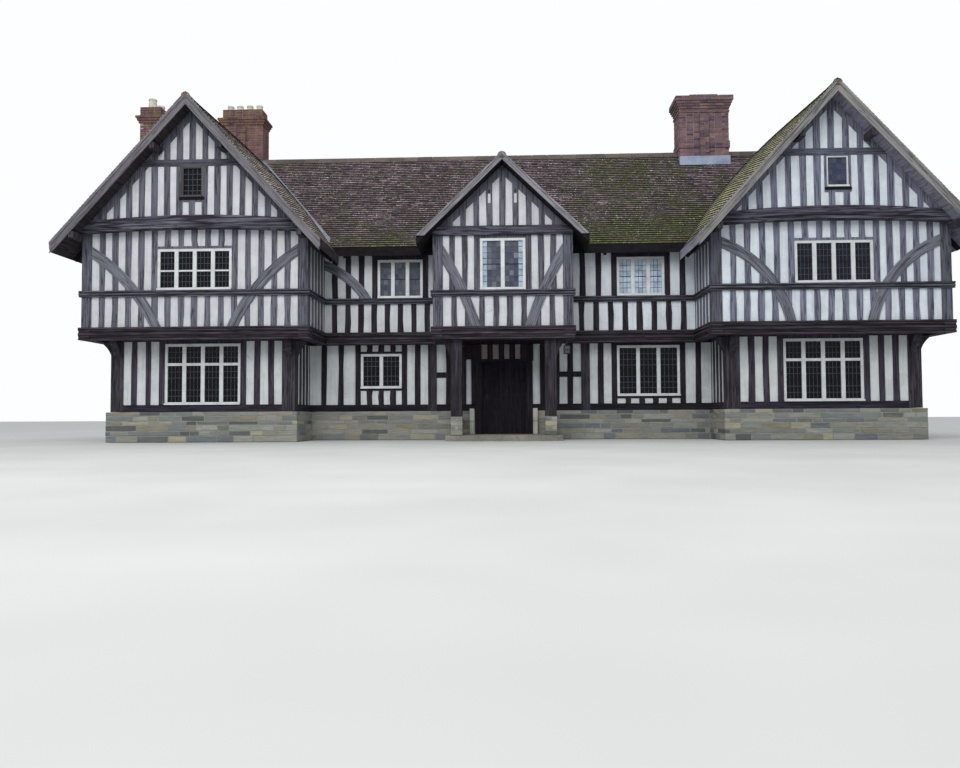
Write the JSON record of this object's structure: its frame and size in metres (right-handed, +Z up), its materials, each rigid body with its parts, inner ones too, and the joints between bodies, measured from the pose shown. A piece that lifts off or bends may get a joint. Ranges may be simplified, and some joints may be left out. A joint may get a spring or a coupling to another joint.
{
  "type": "half timbered house",
  "caption": "Half timbered house: close-studded jettied cross wings and a storeyed porch on a hall range with tiled roofs, brick stacks and a front door that opens.",
  "frame": {"origin": "on the ground under the middle of the house's box, so +X lies toward the right wing", "axes": "+Z up, +Y from the front toward the back, +X to the right seen from the front"},
  "size_m": [23.1104, 9.472, 10.77],
  "materials": {
    "stone": "squared rubble in grey and buff",
    "oak_dark": "dark stained oak",
    "oak_grey": "weathered grey oak",
    "oak_silver": "bleached oak boards",
    "plaster": "limewashed plaster",
    "window_paint": "off-white painted casements",
    "glass": "leaded glass",
    "door": "near-black oak planks",
    "roof_tile": "weathered plain clay tiles with moss",
    "ridge_tile": "weathered clay ridge tiles",
    "brick": "weathered red brick with lichen",
    "clay": "buff clay",
    "lead": "weathered lead sheet",
    "lantern": "black iron lantern"
  },
  "bodies": {
    "house": {"left_wing_plinth": "stone", "hall_plinth": "stone", "right_wing_plinth": "stone", "ground_floor": "stone", "porch_paving": "stone", "porch_bases": "stone", "ground_posts": "oak_dark", "left_wing_ground_frame": "oak_dark", "hall_ground_frame": "oak_dark", "right_wing_ground_frame": "oak_dark", "ground_infill": "plaster", "wing_bressumers": "oak_dark", "hall_bressumers": "oak_dark", "porch_bressumer": "oak_dark", "upper_floor": "oak_grey", "upper_posts": "oak_grey", "left_wing_upper_frame": "oak_grey", "hall_upper_frame": "oak_grey", "right_wing_upper_frame": "oak_grey", "porch_upper_frame": "oak_grey", "upper_infill": "plaster", "mid_rails": "oak_dark", "tie_beams": "oak_dark", "gable_frames": "oak_grey", "gable_infill": "plaster", "attic_floors": "oak_grey", "wall_plates": "oak_grey", "ground_windows": "window_paint", "upper_windows": "window_paint", "attic_windows": "window_paint", "ground_glass": "glass", "upper_glass": "glass", "attic_glass": "glass", "door_frame": "oak_dark", "porch_posts": "oak_grey", "hall_roof": "roof_tile", "left_wing_roof": "roof_tile", "right_wing_roof": "roof_tile", "porch_roof": "roof_tile", "ridge_tiles": "ridge_tile", "bargeboards": "oak_silver", "purlin_ends": "oak_grey", "right_chimney": "brick", "centre_chimney": "brick", "flank_chimney": "brick", "chimney_pots": "clay", "lead_flashing": "lead", "porch_lantern": "lantern"},
    "front_door": {"front_door": "door"}
  },
  "joints": [
    {"name": "front_door_hinge", "type": "hinge", "parent": "house", "child": "front_door", "pos_m": [-0.5989, -1.705, 1], "axis": [0, 0, 1], "range_deg": [0, 100]}
  ]
}
